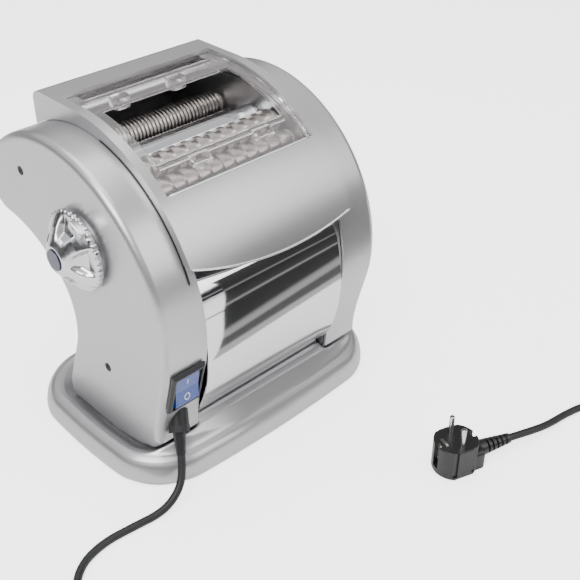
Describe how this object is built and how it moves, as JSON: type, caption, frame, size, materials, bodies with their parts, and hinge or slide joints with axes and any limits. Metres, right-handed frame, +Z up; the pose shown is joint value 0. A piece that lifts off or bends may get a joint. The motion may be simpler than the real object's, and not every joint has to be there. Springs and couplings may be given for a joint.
{
  "type": "electric pasta machine",
  "caption": "Countertop motor-driven pasta machine with roller and cutter sets under a clear guard, a curved polished chute, a thickness knob, a rocker switch and a mains cord.",
  "frame": {"origin": "on the table, under the middle of the machine's box without its cord", "axes": "+Z up, -Y towards the chute, -X towards the thickness knob"},
  "size_m": [0.5162, 0.5609, 0.3],
  "materials": {
    "silver_paint": "satin metallic paint",
    "steel_plate": "plain steel",
    "chrome": "polished",
    "screw_black": "blackened",
    "gear_steel": "cut steel",
    "gear_nylon": "nylon",
    "clear": "clear polycarbonate",
    "comb": "acetal",
    "motor_can": "painted",
    "black": "satin",
    "foot_rubber": "matt",
    "rocker_blue": "glossy",
    "cap_blue": "satin",
    "nickel": "nickel plated"
  },
  "bodies": {
    "housing": {"back_panel": "silver_paint", "base_lugs": "steel_plate", "base_plate": "steel_plate", "base_screws": "screw_black", "base_shell": "silver_paint", "clear_guard": "clear", "cord_coil": "black", "cord_lead": "black", "cord_tail": "black", "cover_posts": "steel_plate", "cover_screws": "screw_black", "cutter_combs": "comb", "fixed_roller_scraper": "chrome", "frame_plate_left": "steel_plate", "frame_plate_right": "steel_plate", "front_chute": "chrome", "gear_studs": "steel_plate", "index_plate": "steel_plate", "motor_housing": "motor_can", "motor_mount_ring": "steel_plate", "motor_stator": "motor_can", "plug_body": "black", "plug_earth_clips": "nickel", "plug_pins": "nickel", "rubber_feet": "foot_rubber", "shaft_bushes": "gear_nylon", "side_cover_left": "silver_paint", "side_cover_right": "silver_paint", "strain_relief": "black", "switch_bezel": "black", "switch_body": "black", "tie_nuts": "steel_plate", "tie_rods": "steel_plate", "top_cover": "silver_paint"},
    "motor_rotor": {"motor_shaft": "steel_plate", "motor_rotor": "steel_plate"},
    "first_gear": {"first_cluster_gear": "gear_nylon"},
    "second_gear": {"second_cluster_gear": "gear_nylon"},
    "main_gear": {"main_gear": "gear_steel"},
    "fixed_roller": {"smooth_roller_fixed": "chrome", "fixed_roller_gears": "gear_steel"},
    "adjustable_roller": {"smooth_roller_adjustable": "chrome", "adjustable_roller_gear": "gear_steel"},
    "fine_cutter_front": {"fine_cutter_front": "chrome", "fine_front_gears": "gear_steel"},
    "fine_cutter_back": {"fine_cutter_back": "chrome", "fine_back_gear": "gear_steel"},
    "wide_cutter_back": {"wide_cutter_back": "chrome", "wide_back_gears": "gear_steel"},
    "wide_cutter_front": {"wide_cutter_front": "chrome", "wide_front_gear": "gear_steel"},
    "yoke": {"yoke_arm_left": "steel_plate", "yoke_arm_right": "steel_plate", "yoke_tube": "steel_plate"},
    "thickness_shaft": {"thickness_shaft": "steel_plate", "thickness_cam": "steel_plate"},
    "knob": {"thickness_knob": "chrome", "knob_cap": "cap_blue"},
    "rocker": {"switch_rocker": "rocker_blue"}
  },
  "joints": [
    {"name": "motor_spin", "type": "hinge", "parent": "housing", "child": "motor_rotor", "pos_m": [0, -0.04799, 0.09671], "axis": [1, 0, 0], "continuous": true},
    {"name": "first_spin", "type": "hinge", "parent": "housing", "child": "first_gear", "pos_m": [0, -0.02799, 0.13135], "axis": [1, 0, 0], "continuous": true},
    {"name": "second_spin", "type": "hinge", "parent": "housing", "child": "second_gear", "pos_m": [0, -0.02433, 0.17319], "axis": [1, 0, 0], "continuous": true},
    {"name": "main_spin", "type": "hinge", "parent": "housing", "child": "main_gear", "pos_m": [0, -0.01703, 0.21455], "axis": [1, 0, 0], "continuous": true},
    {"name": "fixed_roller_spin", "type": "hinge", "parent": "housing", "child": "fixed_roller", "pos_m": [0, 0.01922, 0.23949], "axis": [1, 0, 0], "continuous": true},
    {"name": "adjustable_roller_spin", "type": "hinge", "parent": "yoke", "child": "adjustable_roller", "pos_m": [0, -0.0063, 0.2515], "axis": [1, 0, 0], "continuous": true},
    {"name": "fine_front_spin", "type": "hinge", "parent": "housing", "child": "fine_cutter_front", "pos_m": [0, 0.04543, 0.24935], "axis": [1, 0, 0], "continuous": true},
    {"name": "fine_back_spin", "type": "hinge", "parent": "housing", "child": "fine_cutter_back", "pos_m": [0, 0.06624, 0.23955], "axis": [1, 0, 0], "continuous": true},
    {"name": "wide_back_spin", "type": "hinge", "parent": "housing", "child": "wide_cutter_back", "pos_m": [0, -0.03181, 0.256], "axis": [1, 0, 0], "continuous": true},
    {"name": "wide_front_spin", "type": "hinge", "parent": "housing", "child": "wide_cutter_front", "pos_m": [0, -0.05131, 0.24381], "axis": [1, 0, 0], "continuous": true},
    {"name": "yoke_swing", "type": "hinge", "parent": "housing", "child": "yoke", "pos_m": [0, -0.04888, 0.16102], "axis": [-1, 0, 0], "range_deg": [0, 1.15]},
    {"name": "thickness_turn", "type": "hinge", "parent": "housing", "child": "thickness_shaft", "pos_m": [0, -0.02, 0.204], "axis": [-1, 0, 0], "range_deg": [0, 225]},
    {"name": "knob_pull", "type": "slide", "parent": "thickness_shaft", "child": "knob", "axis": [-1, 0, 0], "range_m": [0, 0.004], "stiffness_N_per_m": 600, "springref_m": -0.002},
    {"name": "rocker_tilt", "type": "hinge", "parent": "housing", "child": "rocker", "pos_m": [-0.101, -0.11397, 0.10352], "axis": [1, 0, 0], "range_deg": [0, 16]}
  ],
  "couplings": [
    {"joint": "first_spin", "follows": "motor_spin", "ratio": -0.14286},
    {"joint": "second_spin", "follows": "motor_spin", "ratio": 0.038961},
    {"joint": "main_spin", "follows": "motor_spin", "ratio": -0.015584},
    {"joint": "fixed_roller_spin", "follows": "motor_spin", "ratio": 0.033395},
    {"joint": "adjustable_roller_spin", "follows": "motor_spin", "ratio": -0.033395},
    {"joint": "fine_front_spin", "follows": "motor_spin", "ratio": -0.033395},
    {"joint": "fine_back_spin", "follows": "motor_spin", "ratio": 0.033395},
    {"joint": "wide_back_spin", "follows": "motor_spin", "ratio": 0.033395},
    {"joint": "wide_front_spin", "follows": "motor_spin", "ratio": -0.033395},
    {"joint": "yoke_swing", "follows": "thickness_turn", "ratio": 0.0050929}
  ]
}
